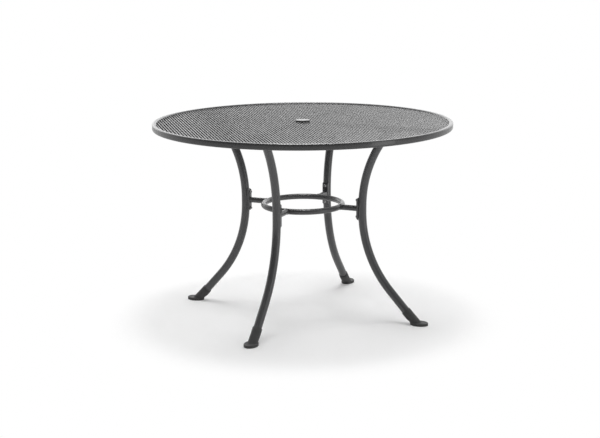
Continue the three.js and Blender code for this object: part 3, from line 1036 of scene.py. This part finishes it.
def cross_bar():
    length = brace_end - brace_start
    shape = block(length, BRACE_WIDTH, BRACE_DEPTH)
    bmesh.ops.translate(shape, vec=(brace_start + length / 2, 0, -BRACE_DEPTH / 2), verts=shape.verts)
    long_edges = [edge for edge in shape.edges if edge.calc_length() > length / 2]
    rounded(shape, long_edges, BRACE_ROUND, BRACE_ROUND_STEPS)
    for part in range(1, BRACE_PARTS):
        cut = (brace_start + length * part / BRACE_PARTS, 0, 0)
        bmesh.ops.bisect_plane(shape, geom=whole(shape), plane_co=cut, plane_no=OUTWARDS)
    for vert in shape.verts:
        vert.co.z += sheet_top(vert.co.x) - (SHEET_THICKNESS + FIT)
    return shape


def collar():
    outline = tube_outline(collar_high.x - COLLAR_WALL, collar_high.x, collar_low.z, collar_high.z)
    return turned(outline, dict.fromkeys(range(4), COLLAR_ROUND))


add_four("cross_bar", cross_bar(), tube_coat, "brace")
add_piece("pole_guide", collar(), tube_coat, ["pole_collar"])
print("cross bars", round(brace_end - brace_start, 4), "long")

# %% [markdown]
# A flat plate closes the top of each leg, and two hexagon bolts hold it up to the cross bar. They are seen
# only from below. The plate is a block with two bevels, a wide one on its upright corners and a fine one on
# its sharp edges, and it is tilted to lie against the crowned bar.

# %% Head plates and bolts
HEAD_PLATE_LENGTH = 0.092
HEAD_PLATE_WIDTH = 0.030
HEAD_PLATE_THICKNESS = 0.003
HEAD_PLATE_CORNER = 0.005
HEAD_BOLT_SPACING = 0.070
HEX_WIDTH = 0.010
HEX_HEIGHT = 0.004
FINE_EDGE = 0.0004
FINE_EDGE_STEPS = 2
SHARP_ANGLE = 1.0
leg_head = upper_axis(plate_low.z)


def plate_under(radius):
    """The height of the plate's underside, which is straight under the crowned bar."""
    ends = (leg_head - HEAD_PLATE_LENGTH / 2, leg_head + HEAD_PLATE_LENGTH / 2)
    below_sheet = SHEET_THICKNESS + BRACE_DEPTH + 2 * FIT + HEAD_PLATE_THICKNESS
    heights = [sheet_top(end) - below_sheet for end in ends]
    return heights[0] + (heights[1] - heights[0]) * (radius - ends[0]) / HEAD_PLATE_LENGTH


def head_plate():
    shape = block(HEAD_PLATE_LENGTH, HEAD_PLATE_WIDTH, HEAD_PLATE_THICKNESS)
    rises = {edge: abs(edge.verts[0].co.z - edge.verts[1].co.z) for edge in shape.edges}
    upright = [edge for edge in shape.edges if rises[edge] > HEAD_PLATE_THICKNESS / 2]
    rounded(shape, upright, HEAD_PLATE_CORNER)
    sharp = [edge for edge in shape.edges if edge.calc_face_angle(0) > SHARP_ANGLE]
    rounded(shape, sharp, FINE_EDGE, FINE_EDGE_STEPS)
    for vert in shape.verts:
        vert.co.x += leg_head
        vert.co.z += plate_under(vert.co.x) + HEAD_PLATE_THICKNESS / 2
    return shape


def hex_bolt(radius):
    shape = bmesh.new()
    bmesh.ops.create_circle(shape, cap_ends=True, segments=6, radius=HEX_WIDTH / math.sqrt(3))
    under = bmesh.ops.extrude_face_region(shape, geom=shape.faces[:])["geom"]
    bmesh.ops.translate(shape, vec=(0, 0, -HEX_HEIGHT), verts=only(bmesh.types.BMVert, under))
    rounded(shape, shape.edges[:], FINE_EDGE, FINE_EDGE_STEPS)
    bmesh.ops.recalc_face_normals(shape, faces=shape.faces)
    bmesh.ops.translate(shape, vec=(radius, 0, plate_under(radius) - FIT), verts=shape.verts)
    return shape


plate_shape = head_plate()
for corner in range(4):
    plate_name = f"plate_{corner + 1}"
    add_piece(plate_name, at_corner(plate_shape, corner), tube_coat, [f"head_{plate_name}"])
    for letter, side in (("a", -0.5), ("b", 0.5)):
        bolt = hex_bolt(leg_head + side * HEAD_BOLT_SPACING)
        bolt_name = f"bolt_{corner + 1}{letter}"
        add_piece(bolt_name, at_corner(bolt, corner), screw_plating, [f"head_{bolt_name}"])
        bolt.free()
plate_shape.free()
print("4 head plates and 8 bolts")

# %% [markdown]
# The studio is a white sweep. The floor is only visible as a pale grey pool round the feet that melts into
# white. So its material fades, from the pool's centre outwards, from a matt surface that takes shadows to
# plain white. Only the camera, shiny coats and clear things see that white. Diffuse light still meets a
# matt floor everywhere, which keeps the light on the table's underside soft.

# %% Floor
FLOOR_HALF = 9.0
FLOOR_LEVEL = 0.85
POOL_CENTRE = (-0.045, -0.02, 0.0)
POOL_RADIUS = 0.45
POOL_FADE = 0.41
POOL_WHITE = 0.15


def ray_kinds(finish):
    """Whether a ray comes from the camera, from a shiny surface or through a clear one."""
    names = ("Is Camera Ray", "Is Glossy Ray", "Is Transmission Ray")
    return [finish.node("ShaderNodeLightPath", output=name) for name in names]


def floor_material():
    finish = Finish(bpy.data.materials.new("studio_floor"))
    place = finish.node("ShaderNodeTexCoord", output="Object")
    distance = {"operation": "DISTANCE"}
    reach = finish.node("ShaderNodeVectorMath", distance, {0: place, 1: POOL_CENTRE}, output="Value")
    smooth = {"interpolation_type": "SMOOTHERSTEP"}
    fade = {"From Min": POOL_RADIUS, "From Max": POOL_RADIUS + POOL_FADE, "To Min": POOL_WHITE}
    whiteness = finish.node("ShaderNodeMapRange", smooth, {"Value": reach, **fade})
    seen, mirrored, through = ray_kinds(finish)
    matt = finish.node("ShaderNodeBsdfDiffuse", values={"Color": grey(FLOOR_LEVEL)})
    white = finish.node("ShaderNodeEmission", values={"Color": grey(1.0), "Strength": 1.0})
    factor = whiteness * (seen + mirrored + through)
    mixed = finish.node("ShaderNodeMixShader", values={0: factor, 1: matt, 2: white})
    finish.node("ShaderNodeOutputMaterial", values={"Surface": mixed})
    return finish.owner


def studio_floor():
    shape = bmesh.new()
    bmesh.ops.create_grid(shape, x_segments=1, y_segments=1, size=FLOOR_HALF)
    mesh = bpy.data.meshes.new("studio_floor")
    shape.to_mesh(mesh)
    shape.free()
    mesh.materials.append(floor_material())
    floor = bpy.data.objects.new("studio_floor", mesh)
    bpy.context.scene.collection.objects.link(floor)
    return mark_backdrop(floor)


studio_floor()
print("floor pool", POOL_RADIUS, "fading over", POOL_FADE)

# %% [markdown]
# The light is plain and soft. The camera sees a white world. The table sees it white beyond itself and dim
# on the camera's side, as a studio is behind the camera. The dim part reaches further round for shiny
# surfaces, and matt ones get a little less of the white. A small strong lamp overhead gives the feet their
# short shadows, three wide lamps beyond the table draw the bright lines on the rim and on the strands of
# the sheet, and a narrow one on the right lights the edges of the legs.

# %% World and lamps
SKY_LEVEL = 0.85
ROOM_LEVEL = 0.15
ROOM_START = -0.75
ROOM_END = 0.25
ROOM_SHIFT = 0.45
LAMP_TARGET = Vector((0, 0, 0.5))


def studio_world():
    world = bpy.data.worlds.new("studio_world")
    bpy.context.scene.world = world
    finish = Finish(world)
    seen, mirrored, through = ray_kinds(finish)
    direction = finish.node("ShaderNodeTexCoord", output="Generated")
    away = (-math.cos(CAMERA_AZIMUTH), -math.sin(CAMERA_AZIMUTH), 0.0)
    along = {"operation": "DOT_PRODUCT"}
    beyond = finish.node("ShaderNodeVectorMath", along, {0: direction, 1: away}, output="Value")
    smooth = {"interpolation_type": "SMOOTHSTEP"}
    dimming = {"From Min": ROOM_START, "From Max": ROOM_END, "To Min": ROOM_LEVEL}
    room = finish.node("ShaderNodeMapRange", smooth, {"Value": beyond - mirrored * ROOM_SHIFT, **dimming})
    lit = room * (mirrored * (1 - SKY_LEVEL) + SKY_LEVEL)
    level = finish.node("ShaderNodeMath", {"operation": "MAXIMUM"}, {0: seen + through, 1: lit})
    background = finish.node("ShaderNodeBackground", values={"Color": grey(1.0), "Strength": level})
    finish.node("ShaderNodeOutputWorld", values={"Surface": background})


def soft_lamp(name, place, width, height, radiance):
    """A rectangular lamp that looks at the table and is itself never in the picture."""
    data = bpy.data.lights.new(name, "AREA")
    data.shape = "RECTANGLE"
    data.size = width
    data.size_y = height
    data.energy = radiance * math.pi * width * height
    lamp = bpy.data.objects.new(name, data)
    bpy.context.scene.collection.objects.link(lamp)
    lamp.location = place
    lamp.rotation_euler = (LAMP_TARGET - Vector(place)).to_track_quat("-Z", "Y").to_euler()
    lamp.visible_camera = False


studio_world()
soft_lamp("top_lamp", place=(0.0, 0.1, 2.9), width=0.9, height=0.9, radiance=28.0)
soft_lamp("back_left_lamp", place=(-0.56, 3.96, 1.75), width=2.3, height=1.9, radiance=1.4)
soft_lamp("back_lamp", place=(1.63, 3.65, 1.75), width=2.3, height=1.9, radiance=1.02)
soft_lamp("back_right_lamp", place=(3.32, 2.24, 1.75), width=2.3, height=1.9, radiance=1.1)
soft_lamp("right_lamp", place=(1.72, -2.46, 1.0), width=1.0, height=2.0, radiance=2.2)
bpy.context.scene.view_settings.view_transform = "Standard"
print("sky level", SKY_LEVEL)
